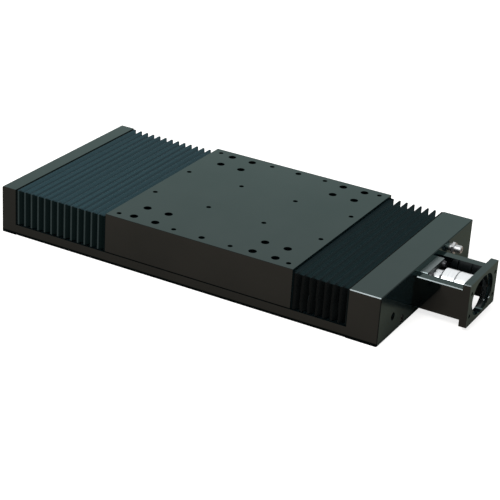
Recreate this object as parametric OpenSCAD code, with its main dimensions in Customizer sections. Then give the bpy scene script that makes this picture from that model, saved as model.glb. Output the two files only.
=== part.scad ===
// Ball screw linear module. A base plate carries two profile rails, a table on four guide
// blocks covers them, and a ball screw between two end plates drives the table. Folded
// bellows close the way on both sides of the table. A bracket holds the shaft coupling
// and takes the motor.
// X is the travel with the motor end at +X, Y is across and Z is up.
// The origin is the middle of the underside.

/* [Module] */
// Length over both end plates
module_len = 450; // [430:5:520]
// Width of the base, the table and the end plates
module_w = 230; // [222:2:260]
// Thickness of the base plate
base_t = 12; // [11:0.5:18]
// How far the end plates stay below the table's top
end_drop = 3; // [2:0.5:5]
// Height of the screw's axis above the base plate
axis_h = 17; // [17:0.5:19]
// Size of the broken edges on the machined pieces
edge_break = 0.8; // [0.4:0.1:1.2]

/* [Table] */
// Length of the table along the travel
table_len = 220; // [210:2:240]
// Thickness of the table's top plate
table_t = 16; // [15:0.5:20]
// Thickness of the table's side skirts
skirt_t = 6; // [4:0.5:8]
// Gap between the skirts and the base
skirt_gap = 0.8; // [0.4:0.1:1.5]
// Position of the table's middle along X at rest
table_pos = 18.5; // [0:0.5:20]
// Distance of the outer threaded holes from the table's edges
hole_inset = 10; // [9:0.5:12]
// Tapping diameter of the threaded holes in the table
table_tap_d = 5.4; // [4.2:0.1:5.4]
// Diameter of the two middle threaded holes
middle_tap_d = 6.8; // [5:0.1:7]

/* [Guides] */
// Width of the rails
rail_w = 15; // [14:0.5:16]
// Height of the rails
rail_h = 15; // [14:0.5:16]
// Distance of each rail's middle from the base's side
rail_inset = 26; // [25:0.5:28]
// Gap between the rails and the end plates
rail_end_gap = 4; // [3:0.5:8]
// Pitch of the rail's screws
rail_pitch = 60; // [50:5:80]
// Width of a guide block
block_w = 34; // [32:0.5:36]
// Height from the base plate to the top of a guide block
block_top = 28; // [26:0.5:30]
// Length of a guide block's steel body
block_len = 39; // [36:1:44]
// Length of a guide block's end cap
cap_len = 9.2; // [7:0.2:10]
// Thickness of a guide block's end seal
seal_t = 2; // [1.5:0.1:2.5]
// Distance of a guide block's middle from the table's end
block_margin = 39.5; // [39.5:0.5:43]
// Spacing of the screws on a guide block, both ways
block_screws = 26; // [24:0.5:28]
// Thread diameter of the screws in the rails and the guide blocks
guide_screw_d = 4; // [3:0.5:4]

/* [Ball screw] */
// Diameter of the ball screw
screw_d = 16; // [15:0.5:16]
// Lead of the thread, travel for one turn
lead = 10; // [8:1:12]
// Depth of the ball groove
groove_depth = 1.3; // [0.8:0.1:1.5]
// Width of the ball groove
groove_w = 3.8; // [3:0.1:4.2]
// Diameter of the nut's body
nut_d = 28; // [27:0.5:29]
// Length of the nut with its flange
nut_len = 57; // [50:1:60]
// Diameter of the nut's flange
nut_flange_d = 48; // [47:0.5:49]
// Height across the flats of the nut's flange
nut_flats = 40; // [40:0.5:41]
// Thickness of the nut's flange
nut_flange_t = 10; // [8:0.5:11]

/* [Bearings] */
// Bore of the two thrust bearings
thrust_id = 12; // [11:0.5:12]
// Outer diameter of the thrust bearings
thrust_od = 28; // [27:0.5:30]
// Bore of the support bearing at the idle end
idle_id = 10; // [8:0.5:10]
// Outer diameter of the support bearing
idle_od = 26; // [24:0.5:28]
// Width of every bearing
bearing_w = 8; // [7:0.5:8]
// Thickness of the idle end plate
idle_plate_t = 18; // [17:0.5:26]
// Thickness of the motor end block
motor_block_t = 34; // [33:1:44]
// Depth of the thrust bearings' bore
thrust_bore_depth = 24; // [22:0.5:26]

/* [Motor end] */
// Outer width of the coupling housing
bracket_w = 72; // [70:1:76]
// Length of the coupling housing up to its flange
bracket_len = 52; // [49:1:70]
// Height of the coupling housing
bracket_h = 34; // [32:0.5:36]
// Thickness of the housing's side walls
bracket_wall = 10.5; // [9:0.5:11]
// Width of the motor flange
flange_w = 74; // [72:1:80]
// Height of the motor flange
flange_h = 47; // [46:0.5:50]
// Thickness of the motor flange
flange_t = 8; // [6:0.5:12]
// Diameter of the motor's pilot bore
pilot_d = 40; // [36:0.5:41]
// Width of the recess in front of the pilot bore
flange_recess_w = 54; // [46:1:54]
// Depth of the recess in front of the pilot bore
flange_recess_t = 2.5; // [2:0.5:3]
// Height between the upper and the lower motor screws
motor_bolt_h = 25; // [22:0.5:26]
// Tapping diameter of the motor's screw holes
motor_tap_d = 4.2; // [3.3:0.1:5]
// Thickness of the bearing retainer
retainer_t = 8; // [6:0.5:9]
// Width of the bearing retainer
retainer_w = 44; // [42:0.5:46]
// Height of the bearing retainer
retainer_h = 33; // [32:0.5:36]
// Diameter of the coupling
coupling_d = 32; // [31:0.5:36]
// Length of one coupling hub
hub_len = 13.8; // [12.4:0.1:14.4]
// Gap between the coupling hubs
hub_gap = 1.2; // [1:0.1:1.6]
// Diameter of the motor shaft that the coupling takes
motor_shaft_d = 14; // [8:0.5:14]
// Diameter of the screw's end in the coupling
screw_end_d = 10; // [8:0.5:10]

/* [Bellows] */
// Number of folds between the idle end and the table
folds_idle = 13; // [11:1:15]
// Number of folds between the table and the motor end
folds_motor = 7; // [6:1:8]
// Depth of a fold at the sides, motor end
fold_depth = 9; // [7:0.5:9.5]
// Depth of a fold at the sides, idle end
fold_depth_idle = 5; // [4:0.5:9]
// Depth of a fold on top, as a share of its depth at the sides
fold_top_share = 0.55; // [0.4:0.05:1]
// Share of a fold's length that its flat crest takes
fold_crest = 0.22; // [0.1:0.02:0.4]
// Wall of the folded cover
fold_wall = 1; // [0.8:0.1:1.4]
// How far the folds stay inside the base's sides
bellows_inset = 1; // [0.6:0.1:2]
// Thickness of the cover's end frames
frame_t = 1.8; // [1.6:0.1:3]

/* [Hidden] */
$fn = 64;

anodised = [0.16, 0.18, 0.18];
steel = [0.72, 0.73, 0.75];
dark_steel = [0.2, 0.2, 0.21];
bright_alloy = [0.86, 0.87, 0.88];
plastic_green = [0.16, 0.36, 0.26];
rubber_black = [0.07, 0.07, 0.08];
cover_cloth = [0.1, 0.14, 0.17];

// Clearances
screw_play = 0.1;       // a screw in its hole, on the diameter
running_play = 0.1;     // a turning or sliding fit, on the diameter
rail_play = 0.35;       // a guide block round its rail
head_play = 1;          // a screw head in its counterbore, on the diameter
head_sink = 0.4;        // a screw head below the surface
table_head_sink = 5;    // the same for the screws in the table
table_screw_rest = 4;   // what the table's screws are shorter than the table is thick
table_head_play = 1.8;  // a screw head in the table's counterbore, on the diameter
part_gap = 0.3;         // between pieces that move past each other
room = 1;               // round the nut in its pocket and its trough
past = 1;               // how far a cut runs past a surface
tap_past = 2;           // how far a tapped hole runs past its screw

// Faces along X
idle_face = -module_len / 2;
motor_face = module_len / 2;
idle_in = idle_face + idle_plate_t;
motor_in = motor_face - motor_block_t;
table_x0 = table_pos - table_len / 2;
table_x1 = table_pos + table_len / 2;

// Heights
block_z = base_t + block_top;
table_z = block_z + table_t;
end_z = table_z - end_drop;
axis_z = base_t + axis_h;

// Guides
block_spread = table_len - 2 * block_margin;
rail_y = module_w / 2 - rail_inset;
rail_x0 = idle_in + rail_end_gap;
rail_len = motor_in - rail_end_gap - rail_x0;
rail_edge = 0.8;
rail_notch = 1.5;
rail_screw_margin = 12;
rail_screws_n = floor((rail_len - 2 * rail_screw_margin) / rail_pitch) + 1;
rail_screw_x0 = rail_x0 + (rail_len - (rail_screws_n - 1) * rail_pitch) / 2;
rail_screw_len = 16;
rail_seat_depth = guide_screw_d + 1.3;
rail_cap_t = 0.8;
block_lift = 4.3;
block_bottom = base_t + block_lift;
block_edge = 1.5;
cap_inset = 0.6;
seal_inset = 1;
nipple_hex = 5;
nipple_t = 2;
nipple_neck = 2.4;
nipple_ball = 3;

// Screws
frame_screw_d = 3;
end_screw_d = 4;
end_screw_y = 58;
end_screw_z = base_t - 4.5;
end_screw_grip = 15;
bracket_screw_d = 5;
bracket_grip = 14;
retainer_grip = 10;

// Tapped holes through the base, for fixing the module from below
mount_end_margin = 60;
mount_side_margin = 55;
mount_x = module_len / 2 - mount_end_margin;
mount_y = module_w / 2 - mount_side_margin;
mount_tap_d = 5;

// Ball nut and its bracket
nut_bracket_len = 40;
nut_bracket_wing = 31.5;
nut_bracket_waist = 22;
nut_roof = 3.5;
nut_floor = 5;
nut_bracket_top = axis_z + nut_d / 2 + nut_roof;
nut_bracket_bottom = axis_z - nut_d / 2 - nut_floor;
wing_z = axis_z + nut_floor;
nut_screw_d = 5;
nut_screw_pcd = 38;
nut_screw_grip = 12;
nut_bracket_screw_x = 12;
nut_bracket_screw_skin = 4;
nut_bracket_screw_len = table_z - wing_z - nut_bracket_screw_skin;
nut_face = table_pos + nut_bracket_len / 2;
nut_flange_room = nut_flange_t + nut_screw_d + 2 * room;
trough_z = axis_z - nut_flats / 2 - room;
trough_w = 2 * nut_bracket_wing;
trough_margin = end_screw_grip + 3 * room;
wiper_t = 3;
wiper_h = 3;

// Ball screw
thread_margin = 8;
thread_x0 = idle_in + thread_margin;
thread_x1 = motor_in - thread_margin;
neck_relief = 0.4;
neck_d = screw_d - 2 * groove_depth - neck_relief;
journal_step = 1;
shoulder_x = motor_face - thrust_bore_depth;
spigot_x = shoulder_x + 2 * bearing_w;
seal_x = motor_in + 2;
seal_len = 5;
ring_t = 2.6;
ring_seat = 1;          // land that a bearing's outer ring rests on
ring_relief = 0.05;     // between the rings of neighbouring bearings, on each side
ball_d = 4;
ball_n = 9;

// Idle bearing
idle_cap_t = 3;
idle_cap_rim = 7.5;
idle_cap_d = idle_od + 2 * idle_cap_rim;
idle_gap_x = 3;
idle_bearing_x = idle_face + idle_cap_t + idle_gap_x;
idle_shoulder_x = idle_bearing_x + bearing_w;
circlip_t = 1;
circlip_h = 2;
circlip_seat = 1;
circlip_gap = 4;

// Coupling train, each piece against the one before it
lock_gap = 0.6;
lock_nut_t = 6.5;
lock_nut_d = 24;
lock_slot_w = 3.5;
lock_slot_h = 1.6;
collar_t = 2.2;
collar_d = 18;
collar_step_t = 0.8;
collar_step_h = 1;
lock_x = motor_face + retainer_t + lock_gap;
collar_x = lock_x + lock_nut_t;
collar_gap = 1;
hub_a_x = collar_x + collar_t + collar_gap;
hub_b_x = hub_a_x + hub_len + hub_gap;
hub_edge = 0.5;
disc_t = 0.4;
disc_screw_d = 3;
disc_screw_r = 12;
clamp_screw_d = 3;
clamp_screw_len = 12;
clamp_seat_y = 4;
clamp_offset = 11;
clamp_end = 4.2;
slit_w = 1.2;

// Motor bracket and end face
bracket_x1 = motor_face + bracket_len;
flange_x1 = bracket_x1 + flange_t;
bolt_y = (bracket_w - bracket_wall) / 2;
motor_bolt_depth = 20;
flange_recess_h = pilot_d - 2;
retainer_screw_y = 17;
retainer_screw_z = 12;

// Lubrication fitting and the port on the other side
fitting_y = 54;
fitting_rise = 14.7;
fitting_z = axis_z + fitting_rise;
fitting_thread_d = 6;
fitting_thread_len = 10;
fitting_neck_d = 8;
fitting_neck_t = 3.2;
fitting_hex = 11.5;
fitting_hex_t = 2.8;
fitting_barrel_d = 8.5;
fitting_len = 13.3;
fitting_tip = 0.8;
fitting_bore = 3;
port_y = -82;
port_z = axis_z - 9;
port_depth = 14;
port_spot_t = 1.5;
port_spot_rim = 1.25;

// Covers
cover_half = module_w / 2 - bellows_inset;
cover_drop = 0.5;
cover_lift = 1;
cover_top = end_z - cover_drop;
cover_bottom = base_t + cover_lift;
frame_band = fold_depth + fold_wall;
frame_screw_z = cover_top - frame_band / 2;
frame_screw_y = [-70, -20, 20, 70];
frame_grip = 6;

// ---------------------------------------------------------------- helpers

// Extrudes a Y-Z outline along X
module along_x(x0, x1) {
    translate([x0, 0, 0])
        rotate([90, 0, 90])
            linear_extrude(x1 - x0)
                children();
}

// Extrudes an X-Z outline along Y, over the full width
module across(w) {
    translate([0, w / 2, 0])
        rotate([90, 0, 0])
            linear_extrude(w)
                children();
}

// Round bar along X
module bar(x0, x1, d) {
    translate([x0, 0, 0])
        rotate([0, 90, 0])
            cylinder(d = d, h = x1 - x0);
}

// Round bar along X on the screw's axis
module shaft(x0, x1, d) {
    translate([0, 0, axis_z]) bar(x0, x1, d);
}

// Ring along X on the screw's axis
module ring(x0, x1, od, id) {
    difference() {
        shaft(x0, x1, od);
        shaft(x0 - past, x1 + past, id);
    }
}

// Rectangle with its corners cut at 45 degrees
module broken_rect(w, h, c) {
    polygon([
        [c, 0], [w - c, 0], [w, c], [w, h - c],
        [w - c, h], [c, h], [0, h - c], [0, c]
    ]);
}

function head_d(d) = 1.5 * d + 1;

// Socket head screw, its seat at the origin and its shank down -Z
module cap_screw(d, len) {
    difference() {
        union() {
            cylinder(d = head_d(d), h = d * 0.85);
            translate([0, 0, d * 0.85])
                cylinder(d1 = head_d(d), d2 = head_d(d) - d * 0.3, h = d * 0.15);
            translate([0, 0, -len])
                cylinder(d = d, h = len);
        }
        translate([0, 0, d * 0.5])
            cylinder(d = 0.8 * d / cos(30), h = d, $fn = 6);
    }
}

// Countersunk screw, its flat top at the origin and its shank down -Z
module flat_screw(d, len) {
    difference() {
        union() {
            translate([0, 0, -d / 2])
                cylinder(d1 = d, d2 = 2 * d, h = d / 2);
            translate([0, 0, -len])
                cylinder(d = d, h = len - d / 2);
        }
        translate([0, 0, -d * 0.35])
            cylinder(d = 0.6 * d / cos(30), h = d, $fn = 6);
    }
}

// Counterbored hole for a cap screw whose seat is at the origin
module cap_hole(d, len, above) {
    translate([0, 0, -len])
        cylinder(d = d + screw_play, h = len + past);
    cylinder(d = head_d(d) + head_play, h = above + past);
}

// Countersunk hole for a flat screw whose top is at the origin
module flat_hole(d, len) {
    translate([0, 0, -d / 2])
        cylinder(d1 = d + screw_play, d2 = 2 * d + screw_play, h = d / 2);
    cylinder(d = 2 * d + screw_play, h = past);
    translate([0, 0, -len])
        cylinder(d = d + screw_play, h = len);
}

// Turns +Z of the children to +X or to -X
module facing_out(sign) {
    rotate([0, sign * 90, 0]) children();
}

// ---------------------------------------------------------------- places

module at_rail_screws() {
    for (side = [-1, 1], i = [0:rail_screws_n - 1])
        translate([rail_screw_x0 + i * rail_pitch, side * rail_y, base_t + rail_h - rail_seat_depth])
            children();
}

module at_blocks() {
    for (end = [-1, 1], side = [-1, 1])
        translate([table_pos + end * block_spread / 2, side * rail_y, 0])
            children();
}

module at_block_screws() {
    at_blocks()
        for (dx = [-1, 1], dy = [-1, 1])
            translate([dx * block_screws / 2, dy * block_screws / 2, table_z - guide_screw_d - table_head_sink])
                children();
}

module at_table_taps() {
    for (i = [0:3], j = [0:3])
        translate([
            table_x0 + hole_inset + i * (table_len - 2 * hole_inset) / 3,
            -module_w / 2 + hole_inset + j * (module_w - 2 * hole_inset) / 3,
            block_z
        ])
            children();
}

module at_nut_bracket_screws() {
    for (dx = [-1, 1], side = [-1, 1])
        translate([
            table_pos + dx * nut_bracket_screw_x,
            side * (nut_bracket_waist + nut_bracket_wing) / 2,
            wing_z
        ])
            rotate([180, 0, 0])
                children();
}

module at_nut_screws() {
    for (side = [0, 180], a = [-45, 0, 45])
        translate([nut_face + nut_flange_t, 0, axis_z])
            rotate([side + a, 0, 0])
                translate([0, nut_screw_pcd / 2, 0])
                    facing_out(1)
                        children();
}

module at_end_screws(x, sign) {
    for (k = [-1, -1 / 3, 1 / 3, 1])
        translate([x, k * end_screw_y, end_screw_z])
            facing_out(sign)
                children();
}

module at_bracket_screws() {
    for (side = [-1, 1], level = [-1, 1])
        translate([motor_in + bracket_screw_d + head_sink, side * bolt_y, axis_z + level * motor_bolt_h / 2])
            facing_out(-1)
                children();
}

module at_retainer_screws() {
    for (side = [-1, 1], level = [-1, 1])
        translate([motor_face + retainer_t, side * retainer_screw_y, axis_z + level * retainer_screw_z])
            facing_out(1)
                children();
}

module at_idle_cap_screws() {
    for (a = [45:90:315])
        translate([idle_face, 0, axis_z])
            rotate([a, 0, 0])
                translate([0, (idle_cap_d + idle_od) / 4, 0])
                    facing_out(-1)
                        children();
}

module at_frame_screws(x, sign) {
    for (y = frame_screw_y)
        translate([x, y, frame_screw_z])
            facing_out(sign)
                children();
}

// ---------------------------------------------------------------- base and rails

module base_plate() color(anodised) {
    difference() {
        along_x(idle_in, motor_in)
            translate([-module_w / 2, 0])
                polygon([
                    [edge_break, 0], [module_w - edge_break, 0], [module_w, edge_break],
                    [module_w, base_t], [0, base_t], [0, edge_break]
                ]);
        translate([idle_in + trough_margin, -trough_w / 2, trough_z])
            cube([motor_in - idle_in - 2 * trough_margin, trough_w, base_t]);
        at_rail_screws()
            cap_hole(guide_screw_d, rail_screw_len + past, 0);
        at_end_screws(idle_face + end_screw_d + head_sink, -1)
            cap_hole(end_screw_d, idle_plate_t + end_screw_grip, 0);
        at_end_screws(motor_face - end_screw_d - head_sink, 1)
            cap_hole(end_screw_d, motor_block_t + end_screw_grip, 0);
        for (end = [-1, 1], side = [-1, 1])
            translate([end * mount_x, side * mount_y, -past])
                cylinder(d = mount_tap_d, h = base_t + 2 * past);
    }
}

// Outline of a profile rail, grown by g for the channel in a guide block
module rail_outline(g) {
    half = rail_w / 2 + g;
    waist = half - rail_notch;
    polygon(concat(
        [
            [half, -past * (g > 0 ? 1 : 0)], [half, rail_h * 0.33], [waist, rail_h * 0.43],
            [waist, rail_h * 0.7], [half, rail_h * 0.8], [half, rail_h - rail_edge + g],
            [half - rail_edge, rail_h + g]
        ],
        [
            [-half + rail_edge, rail_h + g], [-half, rail_h - rail_edge + g], [-half, rail_h * 0.8],
            [-waist, rail_h * 0.7], [-waist, rail_h * 0.43], [-half, rail_h * 0.33],
            [-half, -past * (g > 0 ? 1 : 0)]
        ]
    ));
}

module rail(side) color(steel) {
    difference() {
        translate([0, side * rail_y, base_t])
            along_x(rail_x0, rail_x0 + rail_len)
                rail_outline(0);
        at_rail_screws()
            cap_hole(guide_screw_d, rail_h, rail_seat_depth);
    }
}

module rail_near() rail(-1);

module rail_far() rail(1);

module rail_screws() color(dark_steel) {
    at_rail_screws()
        cap_screw(guide_screw_d, rail_screw_len);
}

module rail_hole_caps() color(rubber_black) {
    at_rail_screws()
        translate([0, 0, rail_seat_depth - rail_cap_t])
            cylinder(d = head_d(guide_screw_d) + head_play, h = rail_cap_t);
}

// ---------------------------------------------------------------- idle end

module idle_end_plate() color(anodised) {
    difference() {
        intersection() {
            across(module_w)
                translate([idle_face, 0])
                    polygon([
                        [edge_break, 0], [idle_plate_t, 0], [idle_plate_t, end_z],
                        [2 * edge_break, end_z], [0, end_z - 2 * edge_break], [0, edge_break]
                    ]);
            translate([idle_face, -module_w / 2, 0])
                linear_extrude(end_z)
                    polygon([
                        [edge_break, 0], [idle_plate_t, 0], [idle_plate_t, module_w],
                        [edge_break, module_w], [0, module_w - edge_break], [0, edge_break]
                    ]);
        }
        shaft(idle_face - past, idle_face + idle_cap_t, idle_cap_d);
        shaft(idle_face, idle_shoulder_x, idle_od);
        shaft(idle_face, idle_in + past, idle_od - 2 * ring_t - 2 * ring_seat);
        at_end_screws(idle_face + end_screw_d + head_sink, -1)
            cap_hole(end_screw_d, idle_plate_t, end_screw_d);
        at_idle_cap_screws()
            flat_hole(frame_screw_d, frame_grip + idle_cap_t);
        at_frame_screws(idle_in + frame_t, 1)
            flat_hole(frame_screw_d, frame_grip + frame_t);
    }
}

module idle_end_screws() color(dark_steel) {
    at_end_screws(idle_face + end_screw_d + head_sink, -1)
        cap_screw(end_screw_d, idle_plate_t + end_screw_grip - end_screw_d - past);
}

// Half of a ball bearing's outline, groove included, as a solid of revolution on the axis
module bearing_ring(x0, od, id, groove_r) {
    difference() {
        ring(x0 + ring_relief, x0 + bearing_w - ring_relief, od, id);
        translate([x0 + bearing_w / 2, 0, axis_z])
            rotate([0, 90, 0])
                rotate_extrude()
                    translate([groove_r, 0])
                        circle(d = ball_d + running_play, $fn = 32);
    }
}

function mid_r(od, id) = (od + id) / 4;

module bearing_balls(x0, od, id) {
    for (i = [0:ball_n - 1])
        translate([x0 + bearing_w / 2, 0, axis_z])
            rotate([i * 360 / ball_n, 0, 0])
                translate([0, mid_r(od, id), 0])
                    sphere(d = ball_d - running_play, $fn = 24);
}

module idle_bearing_outer_ring() color(steel) {
    bearing_ring(idle_bearing_x, idle_od, idle_od - 2 * ring_t, mid_r(idle_od, idle_id));
}

module idle_bearing_inner_ring() color(steel) {
    bearing_ring(idle_bearing_x, idle_id + 2 * ring_t, idle_id, mid_r(idle_od, idle_id));
}

module idle_bearing_balls() color(bright_alloy) {
    bearing_balls(idle_bearing_x, idle_od, idle_id);
}

module idle_bearing_cap() color(anodised) {
    difference() {
        union() {
            ring(idle_face, idle_face + idle_cap_t, idle_cap_d - running_play, 0);
            ring(idle_face + idle_cap_t, idle_bearing_x, idle_od - running_play, idle_od - 2 * ring_t);
        }
        at_idle_cap_screws()
            flat_hole(frame_screw_d, frame_grip + idle_cap_t);
    }
}

module idle_cap_screws() color(dark_steel) {
    at_idle_cap_screws()
        flat_screw(frame_screw_d, frame_grip + idle_cap_t - past);
}

module idle_circlip() color(dark_steel) {
    difference() {
        ring(idle_bearing_x - circlip_t, idle_bearing_x, idle_id + 2 * circlip_h, idle_id - circlip_seat);
        translate([idle_bearing_x - circlip_t - past, -circlip_gap / 2, axis_z])
            cube([circlip_t + 2 * past, circlip_gap, idle_id]);
    }
}

// ---------------------------------------------------------------- motor end

module motor_end_block() color(anodised) {
    difference() {
        intersection() {
            across(module_w)
                translate([motor_in, 0])
                    polygon([
                        [0, 0], [motor_block_t - edge_break, 0], [motor_block_t, edge_break],
                        [motor_block_t, end_z - edge_break], [motor_block_t - edge_break, end_z],
                        [0, end_z]
                    ]);
            translate([motor_in, -module_w / 2, 0])
                linear_extrude(end_z)
                    polygon([
                        [0, 0], [motor_block_t - edge_break, 0], [motor_block_t, edge_break],
                        [motor_block_t, module_w - edge_break],
                        [motor_block_t - edge_break, module_w], [0, module_w]
                    ]);
            along_x(motor_in, motor_face)
                translate([-module_w / 2, 0])
                    polygon([
                        [0, 0], [module_w, 0], [module_w, end_z - edge_break],
                        [module_w - edge_break, end_z], [edge_break, end_z], [0, end_z - edge_break]
                    ]);
        }
        shaft(shoulder_x, motor_face + past, thrust_od);
        shaft(motor_in - past, motor_face, thrust_od - 2 * ring_t - 2 * ring_seat);
        at_end_screws(motor_face - end_screw_d - head_sink, 1)
            cap_hole(end_screw_d, motor_block_t, end_screw_d);
        at_bracket_screws()
            cap_hole(bracket_screw_d, motor_block_t, bracket_screw_d);
        at_retainer_screws()
            cap_hole(guide_screw_d, retainer_t + retainer_grip + tap_past, 0);
        at_frame_screws(motor_in - frame_t, -1)
            flat_hole(frame_screw_d, frame_grip + frame_t);
        translate([0, fitting_y, fitting_z])
            bar(motor_face - fitting_thread_len - tap_past, motor_face + past, fitting_thread_d + screw_play);
        translate([0, port_y, port_z]) {
            bar(motor_face - port_depth, motor_face + past, fitting_thread_d);
            bar(motor_face - port_spot_t, motor_face + past, fitting_thread_d + 2 * port_spot_rim);
        }
    }
}

module motor_end_screws() color(dark_steel) {
    at_end_screws(motor_face - end_screw_d - head_sink, 1)
        cap_screw(end_screw_d, motor_block_t + end_screw_grip - end_screw_d - past);
}

module thrust_bearing_outer_rings() color(steel) {
    for (i = [0, 1])
        bearing_ring(
            shoulder_x + i * bearing_w, thrust_od, thrust_od - 2 * ring_t,
            mid_r(thrust_od, thrust_id)
        );
}

module thrust_bearing_inner_rings() color(steel) {
    for (i = [0, 1])
        bearing_ring(
            shoulder_x + i * bearing_w, thrust_id + 2 * ring_t, thrust_id,
            mid_r(thrust_od, thrust_id)
        );
}

module thrust_bearing_balls() color(bright_alloy) {
    for (i = [0, 1])
        bearing_balls(shoulder_x + i * bearing_w, thrust_od, thrust_id);
}

module bearing_retainer() color(bright_alloy) {
    difference() {
        union() {
            translate([0, -retainer_w / 2, axis_z - retainer_h / 2])
                along_x(motor_face, motor_face + retainer_t)
                    broken_rect(retainer_w, retainer_h, edge_break);
            shaft(spigot_x, motor_face, thrust_od - running_play);
        }
        shaft(spigot_x - past, motor_face + retainer_t + past, thrust_od - 2 * ring_t - 2 * ring_seat);
        at_retainer_screws()
            cap_hole(guide_screw_d, retainer_t + past, guide_screw_d);
    }
}

module retainer_screws() color(steel) {
    at_retainer_screws()
        cap_screw(guide_screw_d, retainer_t + retainer_grip);
}

module screw_seal() color(rubber_black) {
    ring(
        seal_x, seal_x + seal_len, thrust_od - 2 * ring_t - 2 * ring_seat,
        screw_d - journal_step + 2 * part_gap
    );
}

module motor_bracket() color(anodised) {
    difference() {
        union() {
            for (side = [0, 1])
                mirror([0, side, 0])
                    translate([0, -bracket_w / 2, axis_z - bracket_h / 2])
                        along_x(motor_face, bracket_x1)
                            polygon([
                                [edge_break, 0], [bracket_wall, 0], [bracket_wall, bracket_h],
                                [edge_break, bracket_h], [0, bracket_h - edge_break], [0, edge_break]
                            ]);
            translate([0, -flange_w / 2, axis_z - flange_h / 2])
                along_x(bracket_x1, flange_x1)
                    broken_rect(flange_w, flange_h, edge_break);
        }
        shaft(bracket_x1 - past, flange_x1 + past, pilot_d);
        hull()
            for (side = [-1, 1])
                translate([0, side * (flange_recess_w - flange_recess_h) / 2, 0])
                    shaft(flange_x1 - flange_recess_t, flange_x1 + past, flange_recess_h);
        for (side = [-1, 1], level = [-1, 1])
            translate([0, side * bolt_y, axis_z + level * motor_bolt_h / 2]) {
                bar(flange_x1 - motor_bolt_depth, flange_x1 + past, motor_tap_d);
                bar(motor_face - past, motor_face + bracket_grip + past, bracket_screw_d + screw_play);
            }
    }
}

module bracket_screws() color(dark_steel) {
    at_bracket_screws()
        cap_screw(bracket_screw_d, motor_block_t - bracket_screw_d - head_sink + bracket_grip);
}

// Lubrication fitting: thread, neck, hexagon and barrel with a central hole
module lubrication_fitting() color(bright_alloy) {
    tip_x = motor_face + fitting_len - fitting_tip;
    difference() {
        translate([0, fitting_y, fitting_z]) {
            bar(motor_face - fitting_thread_len, motor_face, fitting_thread_d);
            bar(motor_face, motor_face + fitting_neck_t, fitting_neck_d);
            translate([motor_face + fitting_neck_t, 0, 0])
                rotate([0, 90, 0])
                    cylinder(d = fitting_hex / cos(30), h = fitting_hex_t, $fn = 6);
            bar(motor_face + fitting_neck_t + fitting_hex_t, tip_x, fitting_barrel_d);
            translate([tip_x, 0, 0])
                rotate([0, 90, 0])
                    cylinder(d1 = fitting_barrel_d, d2 = fitting_barrel_d - 2 * fitting_tip, h = fitting_tip);
        }
        translate([0, fitting_y, fitting_z])
            bar(motor_face - fitting_thread_len - past, motor_face + fitting_len + past, fitting_bore);
    }
}

// ---------------------------------------------------------------- ball screw

thread_segs = 16;
groove_steps = 4;

// One lead of the thread's profile: [distance along X, radius]
function thread_profile() = concat(
    [[0, screw_d / 2]],
    [for (k = [0:groove_steps - 1])
        [lead - groove_w + k * groove_w / groove_steps,
         screw_d / 2 - groove_depth * sin(180 * k / groove_steps)]]
);

// Point of the thread, held at the full diameter beyond its two ends
function thread_point(i, p) =
    let (
        a = 360 * (i % thread_segs) / thread_segs,
        x = thread_x0 - 2 * lead + lead * i / thread_segs + p[0],
        inside = x > thread_x0 && x < thread_x1,
        r = inside ? p[1] : screw_d / 2
    )
    [min(max(x, thread_x0), thread_x1), r * cos(a), r * sin(a)];

module thread() {
    profile = thread_profile();
    m = len(profile);
    turns = ceil((thread_x1 - thread_x0) / lead) + 3;
    n = turns * thread_segs;
    body = [for (i = [0:n + thread_segs], j = [0:m - 1]) thread_point(i, profile[j])];
    ends = [[thread_x0, 0, 0], [thread_x1, 0, 0]];
    first = len(body);
    function at(i, j) = j < m ? i * m + j : (i + thread_segs) * m;
    skin = [for (i = [0:n - 1], j = [0:m - 1]) [at(i, j), at(i, j + 1), at(i + 1, j + 1), at(i + 1, j)]];
    low = [for (i = [0:thread_segs - 1]) [first, at(i, 0), at(i + 1, 0)]];
    high = [for (i = [n:n + thread_segs - 1]) [first + 1, at(i + 1, 0), at(i, 0)]];
    translate([0, 0, axis_z])
        polyhedron(points = concat(body, ends), faces = concat(skin, low, high));
}

module ball_screw() color(steel) {
    thread();
    shaft(idle_bearing_x - circlip_t - circlip_h, idle_bearing_x - circlip_t, idle_id);
    shaft(idle_bearing_x - circlip_t, idle_bearing_x, idle_id - circlip_seat);
    shaft(idle_bearing_x, idle_shoulder_x, idle_id);
    shaft(idle_shoulder_x, thread_x0, neck_d);
    shaft(thread_x1, shoulder_x, screw_d - journal_step);
    shaft(shoulder_x, collar_x + collar_t, thrust_id);
    shaft(collar_x + collar_t, hub_a_x + hub_len - past, screw_end_d);
}

module bearing_spacer() color(steel) {
    ring(spigot_x, lock_x, thrust_id + 2 * ring_t, thrust_id);
}

module lock_nut() color(bright_alloy) {
    difference() {
        ring(lock_x, collar_x, lock_nut_d, thrust_id);
        for (a = [0:60:300])
            translate([lock_x - past, 0, axis_z])
                rotate([a + 15, 0, 0])
                    translate([0, -lock_slot_w / 2, lock_nut_d / 2 - lock_slot_h])
                        cube([lock_nut_t + 2 * past, lock_slot_w, lock_slot_w]);
    }
}

module lock_collar() color(dark_steel) {
    step_x = collar_x + collar_t - collar_step_t;
    ring(collar_x, step_x, collar_d, thrust_id);
    ring(step_x, collar_x + collar_t, collar_d - 2 * collar_step_h, thrust_id);
}

// ---------------------------------------------------------------- coupling

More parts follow.
